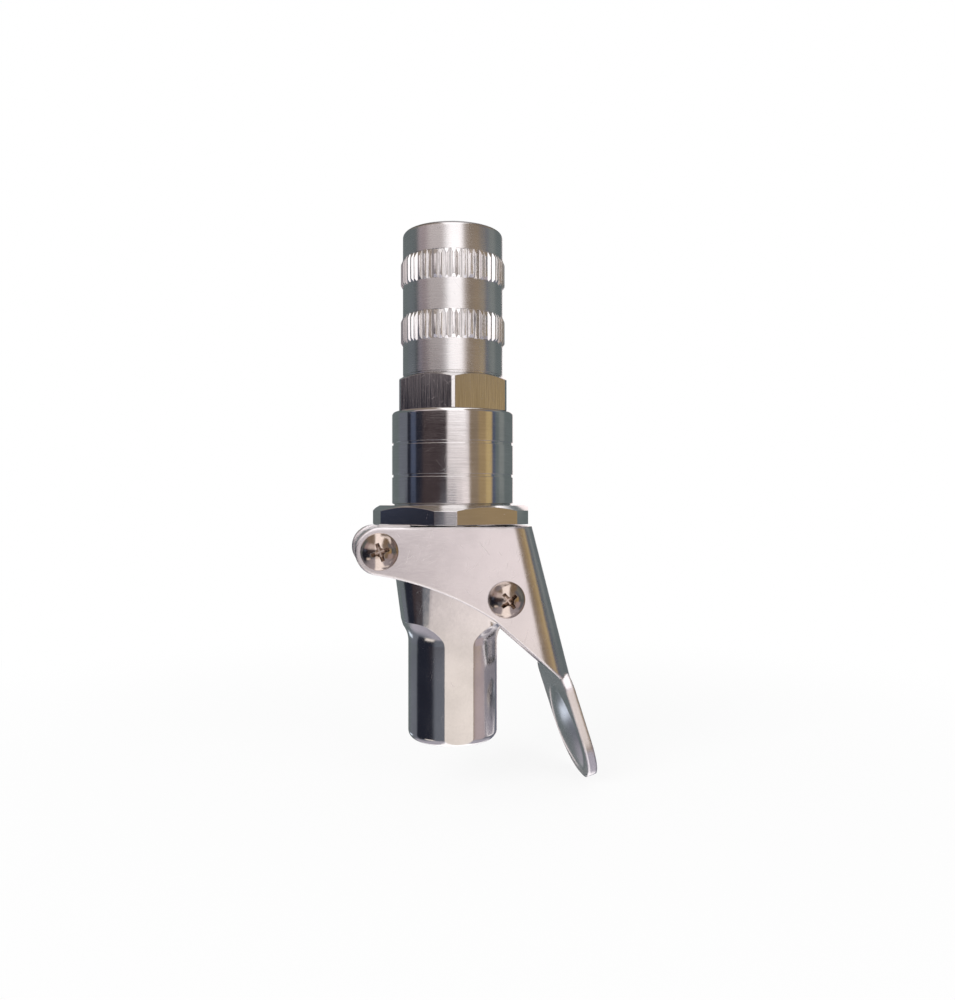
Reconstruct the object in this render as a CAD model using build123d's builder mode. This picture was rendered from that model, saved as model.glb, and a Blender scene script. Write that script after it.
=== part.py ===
from build123d import *
import math
import os

# Grease coupler with a squeeze lever.
# A folded lever lifts a sprung slider, whose tapered nose lets four jaws open over a grease fitting.
# Millimetres, +Z towards the nose, origin at the centre of the inlet end face.
# The lever's screws lie along Y, and its thumb tongue is on the +X side.

# Clearances
running_gap = 0.06         # a shaft turning or sliding in its hole
thread_gap = 0.05          # screwed pieces, each side
side_gap = 0.15            # flat faces that slide past each other
free_gap = 0.3             # moving pieces that only pass each other

# Grease fitting that the jaws grip
fitting_neck_radius = 2.5
jaw_travel = 0.8           # each jaw outwards, so that the fitting's head passes

# Inlet body, from the inlet end upwards
inlet_radius = 7.1
inlet_length = 15.4        # round part below the shoulder
inlet_edge = 1.3           # rounding of the end's outer edge
flat_half = 6.75           # centre to wrench flat
inlet_bore_radius = 4.4
inlet_bore_depth = 11.0
passage_radius = 2.0
shoulder_radius = 4.2      # hollow round between the cylinder and the block
block_height = 10.8
block_half_low = 7.55      # centre to side face, at the block's foot
block_half_top = 9.1
block_corner_low = 2.9     # rounding of the upright edges at the foot
block_corner_top = 5.1
boss_radius = 4.0          # round the fulcrum screws
neck_radius = 6.6
neck_height = 7.55
neck_fillet = 0.8

# Slider yoke
flange_across = 24.0
flange_turn = 13.0         # corners turned from the screws' direction
flange_corner_radius = 13.0
flange_thickness = 2.85
flange_chamfer = 0.8
flange_chamfer_width = 1.4
ring_radius = 9.3          # low ring between the flange and the housing
ring_height = 0.2
yoke_floor = 3.45          # flange underside to the spring's seat
spigot_height = 3.9
spigot_wall = 1.3
lug_radius = 3.2
lug_half = 6.5

# Spring housing
housing_step = 1.7         # outside of the nose sleeve
housing_length = 14.5
housing_wall = 1.3
housing_edge = 0.5
housing_break = 0.15       # chamfer at the lower end
groove_depth = 0.18
groove_width = 0.42
groove_heights = (4.4, 9.4)  # above the housing's lower end

# Nose sleeve
nose_wall = 1.05
nose_edge = 0.7
shank_length = 5.0
hex_step = 0.35            # flats outside of the sleeve
hex_turn = 8.0             # as the sleeve stops when it is screwed tight
hex_setback = 0.22         # turned corners inside of the housing
hex_height = 5.45
hex_chamfer = 0.75
hex_chamfer_width = 1.3
undercut_height = 0.35     # fine neck above the hexagon
undercut_depth = 0.12
sleeve_length = 22.95      # hexagon's top to the mouth
knurl_length = 4.35
knurl_depth = 0.1          # below the sleeve, where the ridges are left out
knurl_heights = (5.25, 14.35)  # above the hexagon
taper_angle = 15.0         # half angle of the cone that closes the jaws
mouth_radius = 4.62

# Stem
stem_radius = 4.0
stem_tip_radius = 3.7
stem_bore_radius = 1.25
valve_bore_radius = 2.1
valve_bore_depth = 7.5
plunger_bore_radius = 2.5
plunger_bore_depth = 16.0
seal_groove_height = 1.5
seal_wire = 0.64           # section radius of the rubber ring

# Check valve
seat_setback = 1.6         # its seat above the round part of the body
seat_thickness = 1.5
seat_hole_radius = 1.1
ball_radius = 1.6
check_wire = 0.4
check_turns = 5

# Main spring, its washer and its snap ring
spring_length = 12.5
spring_wire = 1.6
spring_room = 0.6          # round the spring in its cup
spring_turns = 5
washer_thickness = 1.2
snap_thickness = 0.9
snap_depth = 0.55
snap_height = 1.4          # how far the snap ring stands out of the stem
snap_opening = 3.0

# Jaws and their seat
jaw_count = 4
jaw_recess = 1.0           # jaw tips below the nose's mouth
jaw_slit = 1.0
jaw_radius = 6.0
jaw_wall = 0.8             # round the stem's head
jaw_fit = 0.1              # between the jaws and the taper, square to it
jaw_lip_length = 1.4
jaw_entry = 0.5            # chamfer at the mouth of the lips
jaw_pocket_radius = 3.45
hook_thickness = 1.3
hook_radius = 4.3
head_thickness = 1.2
head_setback = 8.0         # stem's end below the jaw tips
jaw_washer_thickness = 1.0
jaw_washer_room = 0.5      # round the washer in the nose
spreader_wire = 0.5        # section radius of the jaws' spreader ring
spreader_radius = 3.75
spreader_lift = 1.8        # above the stem's end

# Seal and plunger
plunger_flange_radius = 2.95
plunger_flange_thickness = 0.7
plunger_travel = 2.8
plunger_hole_radius = 1.0
plunger_tail = 7.0         # length inside the stem
seal_radius = 3.1
seal_length = 2.0
seal_hole_radius = 0.9
seal_cup = 0.5
plunger_wire = 0.5
plunger_turns = 8

# Lever, a channel folded from sheet
sheet = 1.5
lobe_radius = 3.55
lobe_gap = 0.4             # lobe to the yoke above it
belly_angle = 9.8          # slope of the lower edge where it leaves the lobe
link_x = -12.2
fulcrum_x = 7.0
fulcrum_drop = 3.6         # below the top of the block
web_offset = 7.45          # fulcrum to the web's outer face
web_overrun = 10.0         # how far the folded blank runs past the trimmed lever
web_tilt = 15.2
bend_top = 3.6             # outer bend radius where the lever begins
bend_growth = 0.059        # more radius for each millimetre down the web
belly_end = (-1.8, -3.2)   # from the fulcrum, where the lower edge turns down
belly_sag = 1.02
neck_drop = 12.9           # tongue begins this far below the fulcrum
neck_ledge = 0.5           # lower edge of the plates, inwards of the web
tongue_tilt = 17.9
tongue_set = 0.8           # tongue's outer face, inwards of the web's
tongue_lap = 1.2           # how far it runs up into the web
tongue_length = 17.2
tongue_corner = 7.5
tongue_shoulder = 2.4      # rounding of the corners at the web
dish_radius = 7.2
dish_depth = 1.1
dish_rim = 3.0             # rounding where the dish meets the flat
dish_margin = 0.9          # dish to the tongue's end
lever_angle = 10.0         # full squeeze

# Screws
head_height = 2.3
head_rim = 0.5             # upright edge of the head below its dome
screw_head_radius = 2.8
screw_radius = 1.5
link_screw_grip = 4.4      # thread below the shoulder
fulcrum_screw_grip = 4.2
screw_shoulder = 2.0       # plain part that turns in the plate
bush_radius = 2.1

# Heights that follow from the sizes above
block_top = inlet_length + block_height
neck_top = block_top + neck_height
yoke_bottom = neck_top + free_gap
flange_top = yoke_bottom + flange_thickness
housing_bottom = flange_top + ring_height
cup_floor = yoke_bottom + yoke_floor
spigot_top = housing_bottom + spigot_height
hex_bottom = housing_bottom + housing_length
shank_bottom = hex_bottom - shank_length
hex_top = hex_bottom + hex_height
nose_top = hex_top + sleeve_length
washer_bottom = cup_floor + spring_length
snap_bottom = washer_bottom + washer_thickness
jaw_tip = nose_top - jaw_recess
stem_top = jaw_tip - head_setback
head_bottom = stem_top - head_thickness
hook_top = head_bottom - free_gap
hook_bottom = hook_top - hook_thickness
jaw_washer_top = hook_bottom - free_gap
stem_step = jaw_washer_top - jaw_washer_thickness
seat_bottom = inlet_length + seat_setback
seat_top = seat_bottom + seat_thickness
plunger_floor = stem_top - plunger_bore_depth
plunger_bottom = stem_top - plunger_tail
plunger_shoulder = stem_top + plunger_travel + free_gap
seal_bottom = plunger_shoulder + plunger_flange_thickness

# Radii that follow, from the jaws outwards
head_radius = jaw_radius - jaw_wall
nose_bore = jaw_radius + jaw_fit + jaw_travel
nose_radius = nose_bore + nose_wall
jaw_washer_radius = nose_bore - jaw_washer_room
washer_radius = nose_bore - free_gap
shank_radius = nose_radius - thread_gap
housing_radius = nose_radius + housing_step
housing_bore = housing_radius - housing_wall
hex_across = 2 * (nose_radius + hex_step)
hex_corner_radius = housing_radius - hex_setback
spigot_radius = housing_bore - thread_gap
cup_radius = spigot_radius - spigot_wall
spring_radius = cup_radius - spring_room - spring_wire / 2
taper = math.tan(math.radians(taper_angle))

# Lever places that follow
plate_inner = flat_half + side_gap
plate_outer = plate_inner + sheet
fulcrum_z = block_top - fulcrum_drop
link_z = yoke_bottom - lobe_gap - lobe_radius
lever_top = link_z + lobe_radius
neck_z = fulcrum_z - neck_drop
squeeze = math.radians(lever_angle)
link_reach = fulcrum_x - link_x
link_rise = link_z - fulcrum_z
slider_travel = link_reach * math.sin(squeeze) - link_rise * (1 - math.cos(squeeze))
link_shift = link_reach * (1 - math.cos(squeeze)) + link_rise * math.sin(squeeze)

os.makedirs("parts", exist_ok=True)


def save(piece, name):
    """Label a finished piece and write it to its STEP file."""
    piece.part.label = name
    export_step(piece.part, f"parts/{name}.step")


def web_x(z, inset=0.0):
    """X of the web's outer face at height z, or of a face that lies inset behind it."""
    tilt = math.radians(web_tilt)
    return fulcrum_x + (web_offset - inset) / math.cos(tilt) + (fulcrum_z - z) * math.tan(tilt)


def nose_taper_radius(z):
    """Radius of the nose's bore at height z, the cone near the mouth and the cylinder below it."""
    return min(nose_bore, mouth_radius + (nose_top - z) * taper)


# Inlet body: a block on a flatted cylinder, with the fulcrum boss and the neck
with BuildPart() as inlet_body:
    with BuildSketch():
        RectangleRounded(2 * block_half_low, 2 * flat_half, block_corner_low)
    extrude(amount=inlet_length)
    for height, half, corner in (
            (inlet_length, block_half_low, block_corner_low),
            (block_top, block_half_top, block_corner_top)):
        with BuildSketch(Plane.XY.offset(height)):
            RectangleRounded(2 * half, 2 * flat_half, corner)
    loft()
    blank_radius = inlet_radius + shoulder_radius
    with BuildSketch(Plane.XZ):
        with BuildLine():
            Line((0, 0), (inlet_radius - inlet_edge, 0))
            RadiusArc((inlet_radius - inlet_edge, 0), (inlet_radius, inlet_edge), -inlet_edge)
            Line((inlet_radius, inlet_edge), (inlet_radius, inlet_length))
            RadiusArc((inlet_radius, inlet_length), (blank_radius, inlet_length + shoulder_radius),
                      shoulder_radius)
            Polyline((blank_radius, inlet_length + shoulder_radius), (blank_radius, block_top),
                     (0, block_top), (0, 0))
        make_face()
    revolve(axis=Axis.Z, mode=Mode.INTERSECT)
    with BuildSketch(Plane.XZ):
        with Locations((fulcrum_x, fulcrum_z)):
            Circle(boss_radius)
    extrude(amount=flat_half, both=True)
    with BuildSketch(Plane.XY.offset(block_top)):
        Circle(neck_radius)
    extrude(amount=neck_height)
    neck_root = inlet_body.edges().filter_by(GeomType.CIRCLE).filter_by(
        lambda edge: abs(edge.radius - neck_radius) < 0.01 and edge.center().Z < neck_top - neck_fillet)
    fillet(neck_root, neck_fillet)
    with BuildSketch(Plane.XZ):
        with BuildLine():
            Polyline(
                (0, 0), (inlet_bore_radius, 0), (inlet_bore_radius, inlet_bore_depth),
                (passage_radius, inlet_bore_depth + inlet_bore_radius - passage_radius),
                (passage_radius, seat_bottom), (stem_radius + thread_gap, seat_bottom),
                (stem_radius + thread_gap, neck_top - seal_groove_height),
                (stem_radius + 2 * seal_wire + thread_gap, neck_top - seal_groove_height),
                (stem_radius + 2 * seal_wire + thread_gap, neck_top), (0, neck_top), (0, 0))
        make_face()
    revolve(axis=Axis.Z, mode=Mode.SUBTRACT)
    with BuildSketch(Plane.XZ):
        with Locations((fulcrum_x, fulcrum_z)):
            Circle(screw_radius + thread_gap)
    extrude(amount=flat_half, both=True, mode=Mode.SUBTRACT)
save(inlet_body, "inlet_body")

# Check seat: pressed disc at the foot of the stem, with a hole that the ball closes
with BuildPart() as check_seat:
    with BuildSketch(Plane.XY.offset(seat_bottom)):
        Circle(stem_radius)
        Circle(seat_hole_radius, mode=Mode.SUBTRACT)
    extrude(amount=seat_thickness)
save(check_seat, "check_seat")

# Check ball: rests on the edge of the seat's hole
ball_z = seat_top + math.sqrt(ball_radius ** 2 - seat_hole_radius ** 2) + running_gap
with BuildPart() as check_ball:
    with BuildSketch(Plane.XZ):
        with Locations((0, ball_z)):
            Circle(ball_radius)
            Rectangle(2 * ball_radius, 2 * ball_radius, align=(Align.MAX, Align.CENTER),
                      mode=Mode.SUBTRACT)
    revolve(axis=Axis.Z)
save(check_ball, "check_ball")


def coil_spring(radius, wire, bottom, length, turns):
    """Build an open coil spring round Z that reaches from bottom to bottom + length."""
    rise = length - wire
    with BuildPart() as spring:
        with BuildLine() as path:
            Helix(pitch=rise / turns, height=rise, radius=radius, center=(0, 0, bottom + wire / 2))
        with BuildSketch(Plane(origin=path.line @ 0, z_dir=path.line % 0)):
            Circle(wire / 2)
        sweep(is_frenet=True)
    return spring


# Check spring: from the ball to the end of the stem's lower bore
ball_top = ball_z + ball_radius
check_spring = coil_spring(valve_bore_radius - running_gap - check_wire, check_wire,
                           ball_top - 2 * check_wire, seat_top + valve_bore_depth - ball_top
                           + 2 * check_wire, check_turns)
save(check_spring, "check_spring")

# Stem: hollow, with a wider bore at each end, a snap ring groove and a reduced tip
with BuildPart() as stem:
    with BuildSketch(Plane.XZ):
        with BuildLine():
            Polyline(
                (valve_bore_radius, seat_top), (stem_radius, seat_top), (stem_radius, snap_bottom),
                (stem_radius - snap_depth, snap_bottom),
                (stem_radius - snap_depth, snap_bottom + snap_thickness + thread_gap),
                (stem_radius, snap_bottom + snap_thickness + thread_gap),
                (stem_radius, stem_step), (stem_tip_radius, stem_step), (stem_tip_radius, stem_top),
                (plunger_bore_radius, stem_top), (plunger_bore_radius, plunger_floor),
                (stem_bore_radius, plunger_floor),
                (stem_bore_radius, seat_top + valve_bore_depth),
                (valve_bore_radius, seat_top + valve_bore_depth), (valve_bore_radius, seat_top))
        make_face()
    revolve(axis=Axis.Z)
save(stem, "stem")

# Stem seal ring: rubber, in the neck's recess round the stem
with BuildPart() as stem_seal_ring:
    with BuildSketch(Plane.XZ):
        with Locations((stem_radius + seal_wire + thread_gap / 2, neck_top - seal_groove_height / 2)):
            Circle(seal_wire)
    revolve(axis=Axis.Z)
save(stem_seal_ring, "stem_seal_ring")

# Slider yoke: hexagonal flange, spring cup and the slotted lug that the lever lifts
with BuildPart() as slider_yoke:
    with BuildSketch(Plane.XY.offset(yoke_bottom)):
        RegularPolygon(flange_across / 2, 6, major_radius=False, rotation=30 - flange_turn)
    extrude(amount=flange_thickness)
    with BuildSketch(Plane.XZ):
        with BuildLine():
            Polyline(
                (0, yoke_bottom), (flange_corner_radius, yoke_bottom),
                (flange_corner_radius, flange_top - flange_chamfer),
                (flange_corner_radius - flange_chamfer_width, flange_top), (0, flange_top),
                (0, yoke_bottom))
        make_face()
    revolve(axis=Axis.Z, mode=Mode.INTERSECT)
    with BuildSketch(Plane.XY.offset(flange_top)):
        Circle(ring_radius)
    extrude(amount=ring_height)
    with BuildSketch(Plane.XY.offset(housing_bottom)):
        Circle(spigot_radius)
    extrude(amount=spigot_height)
    lug_right = link_x + link_shift + lug_radius
    with BuildSketch(Plane.XZ):
        with Locations((link_x, link_z)):
            Circle(lug_radius)
        with BuildLine():
            Polyline(
                (link_x, link_z - lug_radius), (lug_right, link_z - lug_radius),
                (lug_right, yoke_bottom), (link_x, yoke_bottom), (link_x, link_z - lug_radius))
        make_face()
    extrude(amount=lug_half, both=True)
    with BuildSketch(Plane.XZ):
        with Locations((link_x + link_shift / 2, link_z)):
            SlotCenterToCenter(link_shift, 2 * (bush_radius + side_gap))
    extrude(amount=lug_half, both=True, mode=Mode.SUBTRACT)
    with BuildSketch(Plane.XY.offset(cup_floor)):
        Circle(cup_radius)
    extrude(amount=spigot_top - cup_floor, mode=Mode.SUBTRACT)
    with BuildSketch(Plane.XY.offset(yoke_bottom)):
        Circle(stem_radius + running_gap)
    extrude(amount=yoke_floor, mode=Mode.SUBTRACT)
save(slider_yoke, "slider_yoke")

# Spring housing: turned tube with two fine grooves, screwed on the yoke's spigot
with BuildPart() as spring_housing:
    with BuildSketch(Plane.XZ):
        with BuildLine():
            Polyline(
                (housing_bore, housing_bottom), (housing_radius - housing_break, housing_bottom),
                (housing_radius, housing_bottom + housing_break), (housing_radius, hex_bottom),
                (shank_radius + thread_gap, hex_bottom), (shank_radius + thread_gap, shank_bottom),
                (housing_bore, shank_bottom), (housing_bore, housing_bottom))
        make_face()
        for height in groove_heights:
            with Locations((housing_radius, housing_bottom + height)):
                Rectangle(2 * groove_depth, groove_width, mode=Mode.SUBTRACT)
    revolve(axis=Axis.Z)
    rim = spring_housing.edges().filter_by(GeomType.CIRCLE).group_by(Axis.Z)[-1].sort_by(
        lambda edge: edge.radius)[-1]
    fillet(rim, housing_edge)
save(spring_housing, "spring_housing")

# Nose sleeve: shank, hexagon and knurled sleeve in one, with the closing taper inside its mouth
with BuildPart() as nose_sleeve:
    with BuildSketch(Plane.XY.offset(hex_bottom)):
        RegularPolygon(hex_across / 2, 6, major_radius=False, rotation=30 - hex_turn)
    extrude(amount=hex_height)
    with BuildSketch(Plane.XZ):
        with BuildLine():
            Polyline(
                (0, hex_bottom), (hex_corner_radius, hex_bottom),
                (hex_corner_radius, hex_top - hex_chamfer),
                (hex_corner_radius - hex_chamfer_width, hex_top), (0, hex_top), (0, hex_bottom))
        make_face()
    revolve(axis=Axis.Z, mode=Mode.INTERSECT)
    with BuildSketch(Plane.XZ):
        with BuildLine():
            Polyline(
                (0, shank_bottom), (shank_radius, shank_bottom), (shank_radius, hex_bottom),
                (nose_radius - undercut_depth, hex_bottom),
                (nose_radius - undercut_depth, hex_top + undercut_height),
                (nose_radius, hex_top + undercut_height), (nose_radius, nose_top - nose_edge))
            RadiusArc((nose_radius, nose_top - nose_edge), (nose_radius - nose_edge, nose_top),
                      -nose_edge)
            Polyline((nose_radius - nose_edge, nose_top), (0, nose_top), (0, shank_bottom))
        make_face()
        for height in knurl_heights:
            with Locations((nose_radius - knurl_depth, hex_top + height)):
                Rectangle(2 * knurl_depth, knurl_length, align=(Align.MIN, Align.MIN),
                          mode=Mode.SUBTRACT)
    revolve(axis=Axis.Z)
    taper_start = nose_top - (nose_bore - mouth_radius) / taper
    with BuildSketch(Plane.XZ):
        with BuildLine():
            Polyline(
                (0, shank_bottom), (nose_bore, shank_bottom), (nose_bore, taper_start),
                (mouth_radius, nose_top), (0, nose_top), (0, shank_bottom))
        make_face()
    revolve(axis=Axis.Z, mode=Mode.SUBTRACT)
save(nose_sleeve, "nose_sleeve")

# Main spring: pushes the slider away from the washer, which closes the jaws
main_spring = coil_spring(spring_radius, spring_wire, cup_floor, spring_length, spring_turns)
save(main_spring, "main_spring")

# Spring washer
with BuildPart() as spring_washer:
    with BuildSketch(Plane.XY.offset(washer_bottom)):
        Circle(washer_radius)
        Circle(stem_radius + thread_gap, mode=Mode.SUBTRACT)
    extrude(amount=washer_thickness)
save(spring_washer, "spring_washer")

# Retaining ring: open snap ring in the stem's groove
with BuildPart() as retaining_ring:
    with BuildSketch(Plane.XY.offset(snap_bottom)):
        Circle(stem_radius + snap_height)
        Circle(stem_radius - snap_depth + thread_gap, mode=Mode.SUBTRACT)
        with Locations((stem_radius, 0)):
            Rectangle(2 * (snap_height + snap_depth), snap_opening, mode=Mode.SUBTRACT)
    extrude(amount=snap_thickness)
save(retaining_ring, "retaining_ring")

# Jaw washer: keeps the jaws' hooks against the stem's head
with BuildPart() as jaw_washer:
    with BuildSketch(Plane.XY.offset(stem_step)):
        Circle(jaw_washer_radius)
        Circle(stem_tip_radius + thread_gap, mode=Mode.SUBTRACT)
    extrude(amount=jaw_washer_thickness)
save(jaw_washer, "jaw_washer")

# Stem head: threaded ring on the stem's end that the jaws hook on
with BuildPart() as stem_head:
    with BuildSketch(Plane.XY.offset(head_bottom)):
        Circle(head_radius)
        Circle(stem_tip_radius + thread_gap, mode=Mode.SUBTRACT)
    extrude(amount=head_thickness)
save(stem_head, "stem_head")

# Jaws: hooked at the back, coned outside, with a gripping lip at the tip
cone_gap = jaw_fit / math.cos(math.radians(taper_angle))
cone_foot = nose_top - (jaw_radius + cone_gap - mouth_radius) / taper
lip_bottom = jaw_tip - jaw_lip_length
lip_slope = jaw_pocket_radius - fitting_neck_radius
recess_radius = head_radius + side_gap
spreader_z = stem_top + spreader_lift
spreader_half = spreader_wire + thread_gap
groove_radius = spreader_radius + spreader_half
half_pitch = math.radians(180 / jaw_count)
wedge_apex = jaw_slit / 2 / math.sin(half_pitch)
wedge_reach = 2 * nose_radius
for number in range(jaw_count):
    with BuildPart() as jaw:
        with BuildSketch(Plane.XZ):
            with BuildLine():
                Polyline(
                    (hook_radius, hook_bottom), (jaw_radius, hook_bottom), (jaw_radius, cone_foot),
                    (nose_taper_radius(jaw_tip) - cone_gap, jaw_tip),
                    (fitting_neck_radius + jaw_entry, jaw_tip),
                    (fitting_neck_radius, jaw_tip - jaw_entry), (fitting_neck_radius, lip_bottom),
                    (jaw_pocket_radius, lip_bottom - lip_slope),
                    (jaw_pocket_radius, spreader_z + spreader_half),
                    (groove_radius, spreader_z + spreader_half),
                    (groove_radius, spreader_z - spreader_half),
                    (jaw_pocket_radius, spreader_z - spreader_half),
                    (jaw_pocket_radius, stem_top + free_gap), (recess_radius, stem_top + free_gap),
                    (recess_radius, hook_top), (hook_radius, hook_top), (hook_radius, hook_bottom))
            make_face()
        revolve(axis=Axis.Z)
        with BuildSketch(Plane.XY.offset(hook_bottom).rotated((0, 0, number * 360 / jaw_count))):
            with BuildLine():
                Polyline(
                    (wedge_apex, 0),
                    (wedge_apex + wedge_reach, wedge_reach * math.tan(half_pitch)),
                    (wedge_apex + wedge_reach, -wedge_reach * math.tan(half_pitch)),
                    (wedge_apex, 0))
            make_face()
        extrude(amount=jaw_tip - hook_bottom, mode=Mode.INTERSECT)
    save(jaw, f"jaw_{number + 1}")

# Jaw spreader ring: sprung wire ring in a groove of the jaws
with BuildPart() as jaw_spreader_ring:
    with BuildSketch(Plane.XZ):
        with Locations((spreader_radius, spreader_z)):
            Circle(spreader_wire)
    revolve(axis=Axis.Z)
save(jaw_spreader_ring, "jaw_spreader_ring")

# Seal plunger: hollow, runs in the stem's upper bore and carries the seal on its flange
plunger_radius = plunger_bore_radius - running_gap
with BuildPart() as seal_plunger:
    with BuildSketch(Plane.XZ):
        with BuildLine():
            Polyline(
                (plunger_hole_radius, plunger_bottom), (plunger_radius, plunger_bottom),
                (plunger_radius, plunger_shoulder), (plunger_flange_radius, plunger_shoulder),
                (plunger_flange_radius, seal_bottom), (plunger_hole_radius, seal_bottom),
                (plunger_hole_radius, plunger_bottom))
        make_face()
    revolve(axis=Axis.Z)
save(seal_plunger, "seal_plunger")

# Nose seal: rubber, with a cupped face for the fitting
with BuildPart() as nose_seal:
    with BuildSketch(Plane.XZ):
        with BuildLine():
            Polyline(
                (seal_hole_radius, seal_bottom), (seal_radius, seal_bottom),
                (seal_radius, seal_bottom + seal_length),
                (seal_radius - seal_cup, seal_bottom + seal_length),
                (seal_hole_radius, seal_bottom + seal_length - seal_cup),
                (seal_hole_radius, seal_bottom))
        make_face()
    revolve(axis=Axis.Z)
save(nose_seal, "nose_seal")

# Plunger spring
plunger_spring = coil_spring(plunger_bore_radius - running_gap - plunger_wire / 2, plunger_wire,
                             plunger_floor, plunger_bottom - plunger_floor, plunger_turns)
save(plunger_spring, "plunger_spring")


def web_plane(z, tilt):
    """Plane square to the web at height z: local X is the coupler's Y, local Y points out of the web."""
    turn = math.radians(tilt)
    return Plane(origin=(web_x(z), 0, z), x_dir=(0, 1, 0), z_dir=(math.sin(turn), 0, -math.cos(turn)))


# Lever: folded channel whose bend widens downwards, round lobe at the link, dished thumb tongue
lobe_turn = math.radians(belly_angle)
edge_start = (link_x - lobe_radius * math.sin(lobe_turn), link_z - lobe_radius * math.cos(lobe_turn))
edge_end = (fulcrum_x + belly_end[0], fulcrum_z + belly_end[1])
neck_inner = (web_x(neck_z, sheet) - neck_ledge, neck_z)
far_x = 2 * web_x(neck_z)
tongue_turn = math.radians(tongue_tilt)
tongue_plane = Plane(origin=(web_x(neck_z) - tongue_set, 0, neck_z), x_dir=(0, 1, 0),
                     z_dir=(math.cos(tongue_turn), 0, math.sin(tongue_turn)))
dish_centre = -(tongue_length - dish_radius - dish_margin)
dish_origin = tongue_plane.from_local_coords(Vector(0, dish_centre, 0))
bowl_span = (dish_radius ** 2 + dish_depth ** 2) / (2 * dish_depth)
bowl_radius = bowl_span - dish_rim
bowl_centre = (0, bowl_radius - dish_depth)
rim_centre = (dish_radius, -dish_rim)
bowl_turn = math.degrees(math.atan2(dish_radius, bowl_span - dish_depth))
dish_plane = Plane(origin=dish_origin, x_dir=(0, 1, 0),
                   z_dir=(math.sin(tongue_turn), 0, -math.cos(tongue_turn)))
with BuildPart() as lever:
    for half_width, inset, mode in ((plate_outer, 0, Mode.ADD), (plate_inner, sheet, Mode.SUBTRACT)):
        for z in (lever_top + web_overrun, neck_z - web_overrun):
            bend = bend_top + (lever_top - z) * bend_growth - inset
            with BuildSketch(web_plane(z, web_tilt)) as section:
                with Locations((0, -inset)):
                    Rectangle(2 * half_width, 2 * (link_reach + web_offset),
                              align=(Align.CENTER, Align.MAX))
                fillet(section.vertices().group_by(Axis.Y)[-1], bend)
        loft(mode=mode)
    with BuildSketch(Plane.XZ):
        with BuildLine():
            SagittaArc(edge_start, edge_end, belly_sag)
            Polyline(edge_end, neck_inner, (far_x, neck_z), (far_x, lever_top), (link_x, lever_top))
            ThreePointArc((link_x, lever_top), (link_x - lobe_radius, link_z), edge_start)
        make_face()
    extrude(amount=2 * plate_outer, both=True, mode=Mode.INTERSECT)
    with BuildSketch(tongue_plane) as tongue:
        with Locations((0, tongue_lap)):
            Rectangle(2 * plate_outer, tongue_length + tongue_lap, align=(Align.CENTER, Align.MAX))
        fillet(tongue.vertices().group_by(Axis.Y)[0], tongue_corner)
        fillet(tongue.vertices().group_by(Axis.Y)[-1], tongue_shoulder)
        with Locations((0, dish_centre)):
            Circle(dish_radius, mode=Mode.SUBTRACT)
    extrude(amount=-sheet)
    with BuildSketch(dish_plane):
        with BuildLine():
            CenterArc(bowl_centre, bowl_radius, -90, bowl_turn)
            CenterArc(rim_centre, dish_rim, 90 + bowl_turn, -bowl_turn)
            Line((dish_radius, 0), (dish_radius, -sheet))
            CenterArc(rim_centre, dish_rim - sheet, 90, bowl_turn)
            CenterArc(bowl_centre, bowl_radius + sheet, bowl_turn - 90, -bowl_turn)
            Line((0, -dish_depth - sheet), (0, -dish_depth))
        make_face()
    revolve(axis=Axis(dish_origin, tongue_plane.z_dir))
    with BuildSketch(Plane.XZ):
        with Locations((fulcrum_x, fulcrum_z), (link_x, link_z)):
            Circle(screw_shoulder + running_gap)
    extrude(amount=2 * plate_outer, both=True, mode=Mode.SUBTRACT)
save(lever, "lever")

# Link bush: tapped through, carried by the lever's plates and running in the slot of the lug
with BuildPart() as link_bush:
    with BuildSketch(Plane.XZ):
        with Locations((link_x, link_z)):
            Circle(bush_radius)
            Circle(screw_radius + thread_gap, mode=Mode.SUBTRACT)
    extrude(amount=plate_inner, both=True)
save(link_bush, "link_bush")

# Pan head shoulder screws: one pair through the lobes into the bush, one pair into the body
dome_height = head_height - head_rim
dome_radius = (screw_head_radius ** 2 + dome_height ** 2) / (2 * dome_height)
dome_turn = math.degrees(math.asin(screw_head_radius / dome_radius))
screw_places = (
    ("link", link_x, link_z, plate_outer, plate_inner, link_screw_grip),
    ("fulcrum", fulcrum_x, fulcrum_z, plate_outer + running_gap, flat_half, fulcrum_screw_grip))
for use, x, z, seat, shoulder_end, grip in screw_places:
    for side, outward in (("front", -1), ("back", 1)):
        with BuildPart() as screw:
            with BuildSketch(Plane(origin=(x, 0, z), x_dir=(1, 0, 0), z_dir=(0, 0, outward))):
                with BuildLine():
                    Polyline(
                        (0, seat + head_height), (0, shoulder_end - grip),
                        (screw_radius, shoulder_end - grip), (screw_radius, shoulder_end),
                        (screw_shoulder, shoulder_end), (screw_shoulder, seat),
                        (screw_head_radius, seat), (screw_head_radius, seat + head_rim))
                    CenterArc((0, seat + head_height - dome_radius), dome_radius, 90 - dome_turn,
                              dome_turn)
                make_face()
            revolve(axis=Axis((x, 0, z), (0, 1, 0)))
        save(screw, f"{use}_screw_{side}")
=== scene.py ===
"""Looks of the grease coupler: finishes, knurling, screws, springs, thread and studio."""

import logging
import math
from dataclasses import dataclass
from enum import Enum

import bmesh
import bpy
from mathutils import Matrix, Vector


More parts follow.
